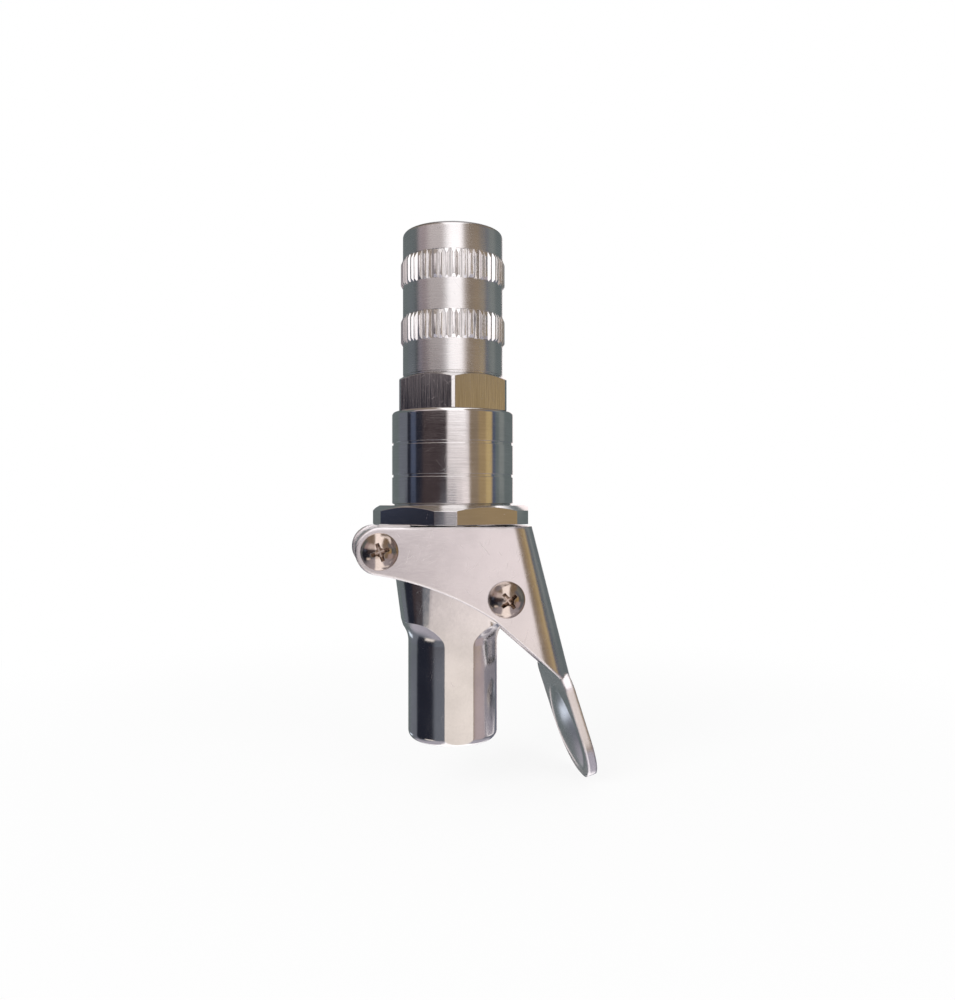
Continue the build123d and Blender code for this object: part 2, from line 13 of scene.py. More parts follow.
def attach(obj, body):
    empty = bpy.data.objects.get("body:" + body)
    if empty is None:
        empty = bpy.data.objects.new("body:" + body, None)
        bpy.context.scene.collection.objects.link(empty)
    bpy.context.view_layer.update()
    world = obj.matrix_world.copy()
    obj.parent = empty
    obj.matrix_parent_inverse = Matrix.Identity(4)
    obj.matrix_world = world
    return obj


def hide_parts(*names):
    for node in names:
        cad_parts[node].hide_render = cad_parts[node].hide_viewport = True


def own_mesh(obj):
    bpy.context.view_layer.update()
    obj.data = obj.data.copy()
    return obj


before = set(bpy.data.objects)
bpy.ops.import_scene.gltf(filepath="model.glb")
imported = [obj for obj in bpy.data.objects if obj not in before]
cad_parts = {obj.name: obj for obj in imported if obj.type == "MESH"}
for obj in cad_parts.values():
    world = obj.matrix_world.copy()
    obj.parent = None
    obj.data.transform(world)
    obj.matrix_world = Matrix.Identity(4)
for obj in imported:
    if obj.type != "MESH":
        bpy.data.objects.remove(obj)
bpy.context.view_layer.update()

MM = 0.001
FULL_TURN = 2.0 * math.pi
UP = Vector((0.0, 0.0, 1.0))
ORIGIN = Vector((0.0, 0.0, 0.0))

Triple = tuple[float, float, float]
Colour = Triple

log = logging.getLogger("coupler")


def srgb(red: int, green: int, blue: int) -> Colour:
    """Turn a colour as a screen shows it into the linear values that shaders use.

    Args:
        red: Red, 0 to 255.
        green: Green, 0 to 255.
        blue: Blue, 0 to 255.

    Returns:
        The linear colour.
    """
    shares = (value / 255.0 for value in (red, green, blue))
    return tuple(s / 12.92 if s <= 0.04045 else ((s + 0.055) / 1.055) ** 2.4 for s in shares)


def tinted(colour: Colour, share: float) -> Colour:
    """Return the colour times a share, for a darker or a lighter tone of it."""
    return tuple(channel * share for channel in colour)


def in_scene(name: str, data: bpy.types.ID) -> bpy.types.Object:
    """Make an object and put it into the scene.

    Args:
        name: The object's name.
        data: Its mesh, lamp or camera.

    Returns:
        The object.
    """
    made = bpy.data.objects.new(name, data)
    bpy.context.scene.collection.objects.link(made)
    return made


def mesh_of(bm: bmesh.types.BMesh, name: str) -> bpy.types.Mesh:
    """Turn a bmesh into a mesh, and free it.

    Args:
        bm: The bmesh, not used again.
        name: The mesh's name.

    Returns:
        The mesh.
    """
    mesh = bpy.data.meshes.new(name)
    bm.to_mesh(mesh)
    bm.free()
    return mesh


# Shader sheets

MIX_SHARE, MIX_ONE, MIX_OTHER = 0, 6, 7    # a Mix node's inputs for colours
MIX_RESULT = 2


class Wire:
    """A shader socket whose operators add Math nodes to its sheet."""

    def __init__(self, sheet: "NodeSheet", socket: bpy.types.NodeSocket) -> None:
        """Hold a node's output and the sheet it is on."""
        self.sheet = sheet
        self.socket = socket

    def _maths(self, operation: str, left: "Wire | float", right: "Wire | float") -> "Wire":
        """Add one Math node for two values."""
        return self.sheet.add("ShaderNodeMath", {"operation": operation}, {0: left, 1: right})

    def __add__(self, other: "Wire | float") -> "Wire":
        """Sum."""
        return self._maths("ADD", self, other)

    def __radd__(self, other: float) -> "Wire":
        """Sum with a number on the left."""
        return self._maths("ADD", other, self)

    def __sub__(self, other: "Wire | float") -> "Wire":
        """Difference."""
        return self._maths("SUBTRACT", self, other)

    def __rsub__(self, other: float) -> "Wire":
        """Difference with a number on the left."""
        return self._maths("SUBTRACT", other, self)

    def __mul__(self, other: "Wire | float") -> "Wire":
        """Product."""
        return self._maths("MULTIPLY", self, other)

    def __rmul__(self, other: float) -> "Wire":
        """Product with a number on the left."""
        return self._maths("MULTIPLY", other, self)

    def __truediv__(self, other: "Wire | float") -> "Wire":
        """Quotient."""
        return self._maths("DIVIDE", self, other)

    def __rtruediv__(self, other: float) -> "Wire":
        """Quotient with a number on the left."""
        return self._maths("DIVIDE", other, self)

    def step(self, low: float, high: float) -> "Wire":
        """Rise smoothly from nought at low to one at high, or fall where low is the greater.

        Args:
            low: Value that gives nought.
            high: Value that gives one.

        Returns:
            The smooth step.
        """
        if low > high:
            return 1.0 - self.step(high, low)
        settings = {"interpolation_type": "SMOOTHSTEP", "clamp": True}
        return self.sheet.add("ShaderNodeMapRange", settings,
                              {"Value": self, "From Min": low, "From Max": high})


class NodeSheet:
    """A node tree that is filled through one method."""

    def __init__(self, tree: bpy.types.NodeTree) -> None:
        """Empty the tree and hold it."""
        self.tree = tree
        tree.nodes.clear()

    def add(self, kind: str, settings: dict, values: dict, output: int | str = 0) -> Wire:
        """Add a node, set it, and wire or fill its inputs.

        Args:
            kind: The node's type.
            settings: Its attributes, such as a Math node's operation, set first.
            values: Input name or index to a number, a colour, a vector or a Wire.
            output: The output that is returned.

        Returns:
            The chosen output as a Wire.
        """
        node = self.tree.nodes.new(kind)
        for key, value in settings.items():
            setattr(node, key, value)
        for key, value in values.items():
            self.feed(node.inputs[key], value)
        return Wire(self, node.outputs[output] if node.outputs else None)

    def feed(self, socket: bpy.types.NodeSocket, value: object) -> None:
        """Link a Wire to a socket, or set the socket's own value.

        Args:
            socket: The input.
            value: A Wire, a number, a colour or a vector.
        """
        if isinstance(value, Wire):
            self.tree.links.new(value.socket, socket)
        elif isinstance(value, tuple) and socket.type == "RGBA":
            socket.default_value = (*value[:3], 1.0)
        else:
            socket.default_value = value

    def mix(self, share: Wire | float, one: Wire | Colour, other: Wire | Colour) -> Wire:
        """Mix two colours, by a share that is nought for the first and one for the second."""
        return self.add("ShaderNodeMix", {"data_type": "RGBA"},
                        {MIX_SHARE: share, MIX_ONE: one, MIX_OTHER: other}, MIX_RESULT)

    def own(self) -> Wire:
        """Object coordinates."""
        return self.add("ShaderNodeTexCoord", {}, {}, "Object")

    def along(self, direction: Vector) -> Wire:
        """Object coordinates measured along a direction."""
        return self.add("ShaderNodeVectorMath", {"operation": "DOT_PRODUCT"},
                        {0: self.own(), 1: tuple(direction)}, "Value")

    def height(self) -> Wire:
        """Height above the inlet face, in millimetres."""
        return self.add("ShaderNodeSeparateXYZ", {}, {0: self.own()}, "Z") / MM

    def seen(self) -> Wire:
        """Tell which rays look at the studio itself.

        Returns:
            One for a ray from the camera, from polished metal or through glass, else nought.
        """
        rays = [self.add("ShaderNodeLightPath", {}, {}, f"Is {kind} Ray")
                for kind in ("Camera", "Glossy", "Transmission")]
        return rays[0] + rays[1] + rays[2]

    def noise(self, cells: Triple, detail: float = 2.0, turn: Triple = (0.0, 0.0, 0.0)) -> Wire:
        """Noise that can be stretched along the axes.

        Args:
            cells: Cells to the metre along each axis.
            detail: Octaves.
            turn: How the axes are turned first, in radians.

        Returns:
            Values about a half.
        """
        settings = {"vector_type": "POINT"}
        turned = self.add("ShaderNodeMapping", settings, {"Vector": self.own(), "Rotation": turn})
        place = self.add("ShaderNodeMapping", settings, {"Vector": turned, "Scale": cells})
        return self.add("ShaderNodeTexNoise", {"noise_dimensions": "3D"},
                        {"Vector": place, "Scale": 1.0, "Detail": detail})


def blank_material(name: str) -> tuple[bpy.types.Material, NodeSheet]:
    """Make a material with no nodes.

    Args:
        name: The material's name.

    Returns:
        The material and the sheet that fills it.
    """
    material = bpy.data.materials.new(name)
    material.use_nodes = True
    return material, NodeSheet(material.node_tree)


# Finishes


class Grain(Enum):
    """How a surface was worked, which gives its marks a direction."""

    TURNED = "turned"
    DRAWN = "drawn"
    PRESSED = "pressed"
    ROLLED = "rolled"
    CAST = "cast"


GRAIN_CELLS: dict[Grain, Triple] = {
    Grain.TURNED: (260.0, 260.0, 9000.0),
    Grain.DRAWN: (7000.0, 7000.0, 200.0),
    Grain.PRESSED: (6000.0, 6000.0, 600.0),
    Grain.ROLLED: (900.0, 900.0, 5200.0),
    Grain.CAST: (2600.0, 2600.0, 2600.0),
}
GRAIN_OCTAVES = 3.0
MIDDLE = 0.5                              # mean of a noise
CLOUD_CELLS, CLOUD_OCTAVES = (170.0, 170.0, 170.0), 4.0
CLOUD_STEP = (0.3, 0.7)
SPECKLE_CELLS = (1900.0, 1900.0, 1900.0)
SPECKLE_DEPTH = 0.12
SCRATCHES = ((0.5, 900.0), (-0.9, 700.0), (1.3, 1100.0))   # turn, and cells across a scratch
SCRATCH_RUN = 300.0                       # cells along a scratch
SCRATCH_FINENESS = 8.0
SCRATCH_STEP = (0.72, 0.78)
SCRATCH_ROUGHNESS = 0.12
EDGE_SAMPLES = 6
BUMP_STRENGTH = 0.35
BUMP_DEPTH = 0.02 * MM


@dataclass(frozen=True)
class Zone:
    """Heights between which a piece was worked another way, such as milled flats, or darkened with
    painted shade.
    """

    low: float
    high: float
    grain: Grain
    roughness: float
    shade: float
    grain_gain: float = 1.0
    fade: float = 0.05

    def mask(self, sheet: NodeSheet) -> Wire:
        """Mask the zone.

        Args:
            sheet: The finish's shader.

        Returns:
            One between the heights, else nought.
        """
        height = sheet.height()
        above = height.step(self.low - self.fade, self.low + self.fade)
        return above * height.step(self.high + self.fade, self.high - self.fade)


@dataclass(frozen=True)
class Finish:
    """A metal finish: plating colour, gloss, working marks, scratches and worn edges, and zones
    that can carry painted shade.
    """

    name: str
    colour: Colour
    roughness: float
    grain: Grain = Grain.TURNED
    grain_depth: float = 0.4
    roughness_spread: float = 0.06
    mottle: float = 0.06
    scratches: float = 0.0
    edge: float = 0.08
    anisotropy: float = 0.0
    anisotropy_turn: float = 0.0
    metallic: float = 1.0
    zones: tuple[Zone, ...] = ()
    streak: float = 0.25

    def scratch_mask(self, sheet: NodeSheet) -> Wire:
        """Draw fine scratches in three directions.

        Args:
            sheet: The finish's shader.

        Returns:
            One where there is a scratch.
        """
        lines = [sheet.noise((SCRATCH_RUN, cells, cells * SCRATCH_FINENESS), 1.0, (0.0, turn, 0.0))
                 for turn, cells in SCRATCHES]
        marks = [line.step(*SCRATCH_STEP) for line in lines]
        return marks[0] + marks[1] + marks[2]

    def build(self) -> bpy.types.Material:
        """Make the material.

        Returns:
            The finished material.
        """
        material, sheet = blank_material(self.name)
        grain = sheet.noise(GRAIN_CELLS[self.grain], GRAIN_OCTAVES) - MIDDLE
        cloud = sheet.noise(CLOUD_CELLS, CLOUD_OCTAVES)
        colour = sheet.mix(cloud.step(*CLOUD_STEP), tinted(self.colour, 1.0 - self.mottle),
                           tinted(self.colour, 1.0 + self.mottle))
        base = self.roughness + (cloud - MIDDLE) * self.roughness_spread
        for zone in self.zones:
            mask = zone.mask(sheet)
            other = sheet.noise(GRAIN_CELLS[zone.grain], GRAIN_OCTAVES) - MIDDLE
            grain = grain + mask * (other * zone.grain_gain - grain)
            base = base + mask * (zone.roughness - base)
            # a zone's shade darkens the plating colour there; at the mouth rim and in the knurl
            # valleys that darkening is painted shade
            colour = sheet.mix(mask, colour, tinted(self.colour, zone.shade))
        colour = sheet.add("ShaderNodeVectorMath", {"operation": "SCALE"},
                           {0: colour, "Scale": 1.0 + grain * self.streak})
        roughness = base + grain * self.roughness_spread
        height = grain * self.grain_depth + sheet.noise(SPECKLE_CELLS) * SPECKLE_DEPTH
        if self.scratches:
            scratch = self.scratch_mask(sheet)
            height = height - scratch * self.scratches
            roughness = roughness + scratch * SCRATCH_ROUGHNESS
        rounded = sheet.add("ShaderNodeBevel", {"samples": EDGE_SAMPLES},
                            {"Radius": self.edge * MM})
        normal = sheet.add("ShaderNodeBump", {}, {
            "Strength": BUMP_STRENGTH, "Distance": BUMP_DEPTH, "Height": height,
            "Normal": rounded})
        shader = sheet.add("ShaderNodeBsdfPrincipled", {}, {
            "Base Color": colour, "Metallic": self.metallic, "Roughness": roughness,
            "Normal": normal, "Anisotropic": self.anisotropy,
            "Anisotropic Rotation": self.anisotropy_turn})
        sheet.add("ShaderNodeOutputMaterial", {}, {"Surface": shader})
        return material


HEXAGON = Zone(51.6, 57.2, Grain.DRAWN, roughness=0.14, shade=0.88, grain_gain=2.5)
# painted shade: the nose's top rim is darkened to a thin dark line, standing in for the dark
# reflection at its rounded edge
MOUTH_RIM_PAINTED_SHADE = Zone(79.62, 79.93, Grain.TURNED, roughness=0.30, shade=0.25)
# painted shade in the knurl valleys: the sleeve between the ridges is darkened as shade; their
# rougher cast grain is a real finish
KNURL_VALLEYS_PAINTED_SHADE = (Zone(62.3, 66.65, Grain.CAST, roughness=0.42, shade=0.74),
           Zone(71.4, 75.75, Grain.CAST, roughness=0.42, shade=0.74))

BRIGHT_NICKEL = Finish(
    "bright_nickel", (0.74, 0.73, 0.72), roughness=0.15, grain_depth=0.2,
    roughness_spread=0.04, mottle=0.03, scratches=0.15, edge=0.12)
BODY_NICKEL = Finish(
    "body_nickel", (0.73, 0.72, 0.705), roughness=0.15, grain=Grain.CAST, grain_depth=0.3,
    roughness_spread=0.10, mottle=0.07, scratches=0.12, edge=0.15, streak=0.12)
HOUSING_NICKEL = Finish(
    "housing_nickel", (0.73, 0.72, 0.71), roughness=0.12, grain_depth=0.8,
    roughness_spread=0.10, mottle=0.08, scratches=0.15, anisotropy=0.4, anisotropy_turn=0.25)
NOSE_SATIN = Finish(
    "nose_satin", (0.75, 0.74, 0.73), roughness=0.27, grain_depth=0.9, roughness_spread=0.08,
    mottle=0.05, scratches=0.15, anisotropy=0.7, anisotropy_turn=0.25,
    zones=(HEXAGON, MOUTH_RIM_PAINTED_SHADE, *KNURL_VALLEYS_PAINTED_SHADE))
KNURL_BRIGHT = Finish(
    "knurl_bright", (0.84, 0.83, 0.825), roughness=0.25, grain=Grain.PRESSED, grain_depth=1.6,
    roughness_spread=0.12, edge=0.03, streak=0.4)
LEVER_SATIN = Finish(
    "lever_satin", (0.75, 0.73, 0.735), roughness=0.22, grain=Grain.ROLLED, grain_depth=0.2,
    roughness_spread=0.08, mottle=0.05, scratches=0.14, edge=0.6, streak=0.1)
SCREW_NICKEL = Finish(
    "screw_nickel", (0.57, 0.485, 0.425), roughness=0.18, grain=Grain.CAST, grain_depth=0.05,
    roughness_spread=0.03, mottle=0.05, edge=0.06)
TURNED_STEEL = Finish(
    "turned_steel", (0.52, 0.52, 0.53), roughness=0.26, grain_depth=0.6,
    roughness_spread=0.08, scratches=0.2)
JAW_STEEL = Finish(
    "jaw_steel", (0.30, 0.30, 0.32), roughness=0.32, grain_depth=0.5, roughness_spread=0.10,
    mottle=0.10, scratches=0.2)
SPRING_WIRE = Finish(
    "spring_wire", (0.42, 0.42, 0.44), roughness=0.28, grain=Grain.CAST, grain_depth=0.3,
    roughness_spread=0.08, mottle=0.08)
SEAL_RUBBER = Finish(
    "seal_rubber", (0.035, 0.035, 0.038), roughness=0.62, grain=Grain.CAST, grain_depth=0.5,
    roughness_spread=0.10, mottle=0.15, metallic=0.0)

NODE_FINISHES: dict[str, Finish] = {
    "inlet_body": BODY_NICKEL, "slider_yoke": BRIGHT_NICKEL, "spring_housing": HOUSING_NICKEL,
    "nose_sleeve": NOSE_SATIN, "lever": LEVER_SATIN, "jaw_1": JAW_STEEL, "jaw_2": JAW_STEEL,
    "jaw_3": JAW_STEEL, "jaw_4": JAW_STEEL, "nose_seal": SEAL_RUBBER,
    "stem_seal_ring": SEAL_RUBBER, "jaw_spreader_ring": SPRING_WIRE,
    "retaining_ring": SPRING_WIRE,
}


class FinishShop:
    """Makes each finish once and dresses the CAD nodes."""

    def __init__(self) -> None:
        """Start with no finish made."""
        self.made: dict[str, bpy.types.Material] = {}

    def get(self, finish: Finish) -> bpy.types.Material:
        """Give a finish's material, made on first use.

        Args:
            finish: The finish.

        Returns:
            Its material.
        """
        if finish.name not in self.made:
            self.made[finish.name] = finish.build()
        return self.made[finish.name]

    def dress_nodes(self) -> None:
        """Give every CAD node its finish, and turned steel where none is named."""
        for name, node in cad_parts.items():
            node.data.materials.clear()
            node.data.materials.append(self.get(NODE_FINISHES.get(name, TURNED_STEEL)))
            log.info("%s: dressed", name)


# Meshes

WELD = 0.0005     # millimetres within which points of a turned mesh become one


def ring_of(points: list[tuple[float, float]], bm: bmesh.types.BMesh) -> list:
    """Put (radius, height) points into a mesh as one open chain in the XZ plane.

    Args:
        points: Radius and height of each point, in millimetres.
        bm: The mesh.

    Returns:
        The new vertices and edges.
    """
    corners = [bm.verts.new((radius * MM, 0.0, height * MM)) for radius, height in points]
    edges = [bm.edges.new(pair) for pair in zip(corners, corners[1:])]
    return [*corners, *edges]


def spun(points: list[tuple[float, float]], steps: int) -> bmesh.types.BMesh:
    """Turn a profile round Z into a closed mesh.

    Args:
        points: Radius and height of each point, in millimetres, from axis to axis.
        steps: Steps to the full turn.

    Returns:
        The mesh.
    """
    bm = bmesh.new()
    bmesh.ops.spin(bm, geom=ring_of(points, bm), cent=ORIGIN, axis=UP, angle=FULL_TURN,
                   steps=steps, use_merge=True)
    bmesh.ops.remove_doubles(bm, verts=bm.verts, dist=WELD * MM)
    bmesh.ops.recalc_face_normals(bm, faces=bm.faces)
    return bm


def finished(bm: bmesh.types.BMesh, name: str, material: bpy.types.Material, body: str,
             smooth: float = 35.0) -> bpy.types.Object:
    """Make a piece of a mesh, dress it and let it ride on its body.

    Args:
        bm: The mesh, in place.
        name: The piece's name.
        material: Its finish.
        body: The CAD body that carries it.
        smooth: Edges sharper than this many degrees stay sharp.

    Returns:
        The piece.
    """
    mesh = mesh_of(bm, name)
    mesh.materials.append(material)
    mesh.shade_smooth()
    mesh.set_sharp_from_angle(angle=math.radians(smooth))
    piece = in_scene(name, mesh)
    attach(piece, body)
    log.info("%s: %d faces, rides on %s", name, len(mesh.polygons), body)
    return piece


# Sub-assemblies

SWAYS = ((2.4, 0.0), (4.1, 1.0), (7.7, 2.0))    # rate and phase, so that ridges differ


@dataclass
class KnurledBand:
    """A band of straight ridges pressed up round the nose sleeve, no two quite alike."""

    name: str
    bottom: float
    length: float = 4.35
    foot_radius: float = 7.83
    tip_radius: float = 8.25
    ridges: int = 55
    foot_width: float = 0.84
    crest_width: float = 0.24
    crest_edge: float = 0.07
    upper_slope: float = 1.0
    lower_slope: float = 0.6
    overrun: float = 0.22
    end_sway: float = 0.12
    height_sway: float = 0.03
    width_sway: float = 0.4
    side_sway: float = 0.06
    pitch_sway: float = 0.1

    def ridge(self, bm: bmesh.types.BMesh, number: int) -> None:
        """Add one ridge: a long hipped bar whose crest fades into the sleeve at both ends.

        Args:
            bm: The band's mesh.
            number: Which ridge it is, counted round from the lever's side.
        """
        sway = [math.sin(number * rate + phase) for rate, phase in SWAYS]
        height = self.tip_radius - self.foot_radius + self.height_sway * sway[0]
        bottom = self.bottom - self.overrun + self.end_sway * sway[1]
        top = self.bottom + self.length + self.overrun + self.end_sway * sway[2]
        bar = bmesh.ops.create_cube(bm, size=1.0)["verts"]
        for corner in bar:
            outer, upper = corner.co.x > 0.0, corner.co.z > 0.0
            width, side, slope, rise = self.foot_width, 0.0, 0.0, 0.0
            if outer:
                width = self.crest_width * (1.0 + self.width_sway * sway[1])
                side, rise = self.side_sway * sway[2], height
                slope = -self.upper_slope if upper else self.lower_slope
            corner.co = Vector((self.foot_radius + rise,
                                math.copysign(width / 2.0, corner.co.y) + side,
                                (top if upper else bottom) + slope)) * MM
        crown = [e for e in {e for v in bar for e in v.link_edges}
                 if all(v.co.x > (self.foot_radius + height / 2.0) * MM for v in e.verts)]
        made = bmesh.ops.bevel(bm, geom=crown, offset=self.crest_edge * MM, segments=2,
                               profile=0.5, affect="EDGES", material=-1)
        whole = {v for v in [*bar, *made["verts"]] if v.is_valid}
        place = FULL_TURN * (number + self.pitch_sway * sway[0]) / self.ridges
        bmesh.ops.rotate(bm, cent=ORIGIN, matrix=Matrix.Rotation(place, 3, "Z"),
                         verts=list(whole))

    def build(self, material: bpy.types.Material) -> bpy.types.Object:
        """Set the ridges round the sleeve.

        Args:
            material: The finish of the knurling.

        Returns:
            The piece.
        """
        bm = bmesh.new()
        for number in range(self.ridges):
            self.ridge(bm, number)
        bmesh.ops.recalc_face_normals(bm, faces=bm.faces)
        piece = finished(bm, self.name, material, "slider")
        return piece


@dataclass
class PanScrew:
    """A pan head shoulder screw with a cross recess, square to the lever's plates."""

    node: str
    body: str
    x: float
    z: float
    seat: float
    shoulder_end: float
    grip: float
    outward: int
    twist: float
    head_radius: float = 2.8
    head_height: float = 2.3
    rim: float = 0.5
    dome_steps: int = 14
    seat_edge: float = 0.1
    seat_edge_rise: float = 0.12
    shoulder: float = 2.0
    shank: float = 1.5
    recess_radius: float = 1.75
    recess_width: float = 0.72
    recess_depth: float = 1.55
    wing_foot: tuple[float, float] = (0.42, 0.3)    # a wing's length and width at its foot
    core_foot: float = 0.2
    core_mouth: float = 0.85
    core_sides: int = 8
    overrun: float = 0.3
    steps: int = 72
    smooth: float = 28.0

    def profile(self) -> list[tuple[float, float]]:
        """Draw half the outline of the screw, its axis upright and its seat at its height.

        Returns:
            Radius and height of each point.
        """
        dome = self.head_height - self.rim
        sphere = (self.head_radius ** 2 + dome ** 2) / (2.0 * dome)
        centre = self.seat + self.head_height - sphere
        widest = math.asin(self.head_radius / sphere)
        turns = [widest * step / self.dome_steps for step in range(self.dome_steps + 1)]
        arc = [(sphere * math.sin(turn), centre + sphere * math.cos(turn)) for turn in turns]
        return [*arc, (self.head_radius, self.seat + self.seat_edge_rise),
                (self.head_radius - self.seat_edge, self.seat),
                (self.shoulder, self.seat), (self.shoulder, self.shoulder_end),
                (self.shank, self.shoulder_end), (self.shank, self.shoulder_end - self.grip),
                (0.0, self.shoulder_end - self.grip)]

    def punch(self) -> bpy.types.Object:
        """Make the cross-shaped punch that leaves the recess.

        Returns:
            The punch.
        """
        bm = bmesh.new()
        reach = self.recess_depth + self.overrun
        top = self.seat + self.head_height + self.overrun
        for turn in (0.0, math.pi / 2.0):
            wing = bmesh.ops.create_cube(bm, size=1.0)["verts"]
            bmesh.ops.scale(bm, vec=(2.0 * self.recess_radius * MM, self.recess_width * MM,
                                     reach * MM), verts=wing)
            bmesh.ops.scale(bm, vec=(*self.wing_foot, 1.0),
                            verts=[v for v in wing if v.co.z < 0.0])
            bmesh.ops.rotate(bm, cent=ORIGIN, matrix=Matrix.Rotation(turn, 3, "Z"), verts=wing)
        bmesh.ops.create_cone(bm, cap_ends=True, segments=self.core_sides,
                              radius1=self.core_foot * MM, radius2=self.core_mouth * MM,
                              depth=reach * MM,
                              matrix=Matrix.Rotation(math.pi / self.core_sides, 4, "Z"))
        bmesh.ops.rotate(bm, cent=ORIGIN,
                         matrix=Matrix.Rotation(math.radians(self.twist), 3, "Z"),
                         verts=bm.verts)
        bmesh.ops.translate(bm, vec=(0.0, 0.0, (top - reach / 2.0) * MM), verts=bm.verts)
        return in_scene("punch", mesh_of(bm, "punch"))

    def build(self, material: bpy.types.Material) -> bpy.types.Object:
        """Turn the screw, cut its recess and put it in place of its CAD node.

        Args:
            material: The screw's finish.

        Returns:
            The piece.
        """
        stock = in_scene("stock", mesh_of(spun(self.profile(), self.steps), "blank"))
        punch = self.punch()
        cut = stock.modifiers.new("recess", "BOOLEAN")
        cut.operation, cut.solver, cut.use_self, cut.object = "DIFFERENCE", "EXACT", True, punch
        graph = bpy.context.evaluated_depsgraph_get()
        bm = bmesh.new()
        bm.from_mesh(bpy.data.meshes.new_from_object(stock.evaluated_get(graph)))
        for helper in (stock, punch):
            bpy.data.objects.remove(helper)
        lay = Matrix(((1.0, 0.0, 0.0), (0.0, 0.0, self.outward), (0.0, -self.outward, 0.0)))
        bmesh.ops.transform(bm, matrix=lay.to_4x4(), verts=bm.verts)
        bmesh.ops.translate(bm, vec=(self.x * MM, 0.0, self.z * MM), verts=bm.verts)
        bmesh.ops.recalc_face_normals(bm, faces=bm.faces)
        piece = finished(bm, f"{self.node}_pan_head", material, self.body, self.smooth)
        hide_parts(self.node)
        return piece


@dataclass
class CoilSpring:
    """A compression spring with closed ends, ground flat."""

    node: str
    joint: str
    radius: float
    wire: float
    bottom: float
    top: float
    turns: float
    anchor: float
    travel: float
    closed_turns: float = 1.0
    wire_sides: int = 12
    turn_steps: int = 40

    def build(self, material: bpy.types.Material) -> bpy.types.Object:
        """Wind the wire and grind its ends.

        Args:
            material: The wire's finish.

        Returns:
            The piece.
        """
        bm = bmesh.new()
        section = bmesh.ops.create_circle(bm, segments=self.wire_sides,
                                          radius=self.wire / 2.0 * MM)["verts"]
        bmesh.ops.rotate(bm, cent=ORIGIN, matrix=Matrix.Rotation(math.pi / 2.0, 3, "X"),
                         verts=section)
        bmesh.ops.translate(bm, vec=(self.radius * MM, 0.0, self.bottom * MM), verts=section)
        geometry = [*section, *{e for v in section for e in v.link_edges}]
        length = self.top - self.bottom
        closed = (self.closed_turns, self.wire)
        active = (self.turns - 2.0 * self.closed_turns, length - 2.0 * self.wire)
        for turns, rise in (closed, active, closed):
            steps = round(turns * self.turn_steps)
            made = bmesh.ops.spin(bm, geom=geometry, cent=ORIGIN, axis=UP,
                                  angle=FULL_TURN * turns, steps=steps,
                                  dvec=(0.0, 0.0, rise / steps * MM))
            geometry = made["geom_last"]
        bmesh.ops.holes_fill(bm, edges=[e for e in bm.edges if e.is_boundary])
        for height, way in ((self.bottom, -1.0), (self.top, 1.0)):
            everything = [*bm.verts, *bm.edges, *bm.faces]
            cut = bmesh.ops.bisect_plane(bm, geom=everything, plane_co=(0.0, 0.0, height * MM),
                                         plane_no=(0.0, 0.0, way), clear_outer=True)
            rim = [e for e in cut["geom_cut"] if isinstance(e, bmesh.types.BMEdge)]
            bmesh.ops.holes_fill(bm, edges=rim)
        bmesh.ops.recalc_face_normals(bm, faces=bm.faces)
        piece = finished(bm, f"{self.node}_wound", material, "body")
        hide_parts(self.node)
        1.0 - self.travel / length
        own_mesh(piece)
        return piece


@dataclass
class InletThread:
    """The thread in the inlet, a ridge wound up the wall of the bore."""

    radius: float = 4.42
    crest: float = 4.06
    pitch: float = 0.94
    bottom: float = 0.5
    turns: int = 10
    foot_share: float = 0.42    # half the ridge's foot, as a share of the pitch
    crest_share: float = 0.15   # half its crest, as a share of half its foot
    turn_steps: int = 48
    smooth: float = 20.0

    def build(self, material: bpy.types.Material) -> bpy.types.Object:
        """Wind the ridge.

        Args:
            material: The body's finish.

        Returns:
            The piece.
        """
        bm = bmesh.new()
        foot = self.pitch * self.foot_share
        crest = foot * self.crest_share
        outline = ((self.radius, -foot), (self.crest, -crest), (self.crest, crest),
                   (self.radius, foot))
        chain = ring_of([(radius, self.bottom + height) for radius, height in outline], bm)
        corners = [v for v in chain if isinstance(v, bmesh.types.BMVert)]
        chain.append(bm.edges.new((corners[-1], corners[0])))
        steps = self.turns * self.turn_steps
        bmesh.ops.spin(bm, geom=chain, cent=ORIGIN, axis=UP, angle=FULL_TURN * self.turns,
                       steps=steps, dvec=(0.0, 0.0, self.turns * self.pitch / steps * MM))
        bmesh.ops.holes_fill(bm, edges=[e for e in bm.edges if e.is_boundary])
        bmesh.ops.recalc_face_normals(bm, faces=bm.faces)
        piece = finished(bm, "inlet_thread_ridge", material, "body", self.smooth)
        return piece


# Cards and soft boxes that the polished metal mirrors

PLATING = 0.72     # what the plating returns, so that a card is painted this much brighter

WHITE = tinted(srgb(252, 248, 250), 1.15)
MILK = srgb(240, 228, 228)
CREAM = srgb(222, 212, 206)
PEARL = srgb(206, 197, 197)
FAWN = srgb(178, 169, 171)
MIST = srgb(158, 154, 164)
ROSE = srgb(164, 150, 153)
UMBER = srgb(124, 109, 93)
OLIVE = srgb(142, 121, 90)
AMBER = srgb(170, 148, 106)
TEAL = srgb(94, 101, 102)
ZINC = srgb(118, 122, 121)
GLASS = srgb(222, 232, 246)
DUSK = srgb(72, 79, 98)
SLATE = srgb(100, 103, 112)
ASH = srgb(128, 116, 106)
NAVY = srgb(32, 34, 44)
PLUM = srgb(58, 49, 51)


@dataclass(frozen=True)
class Card:
    """A card of the surround, from its start on to the next card's."""

    start: float
    colour: Colour
    blend: float


@dataclass(frozen=True)
class Tier:
    """Cards that stand side by side, by the angle from behind the coupler round by its left.

    The rise is the sine of the height angle; the tier fades in from its foot to its full rise.
    """

    foot: float
    full: float
    cards: tuple[Card, ...]


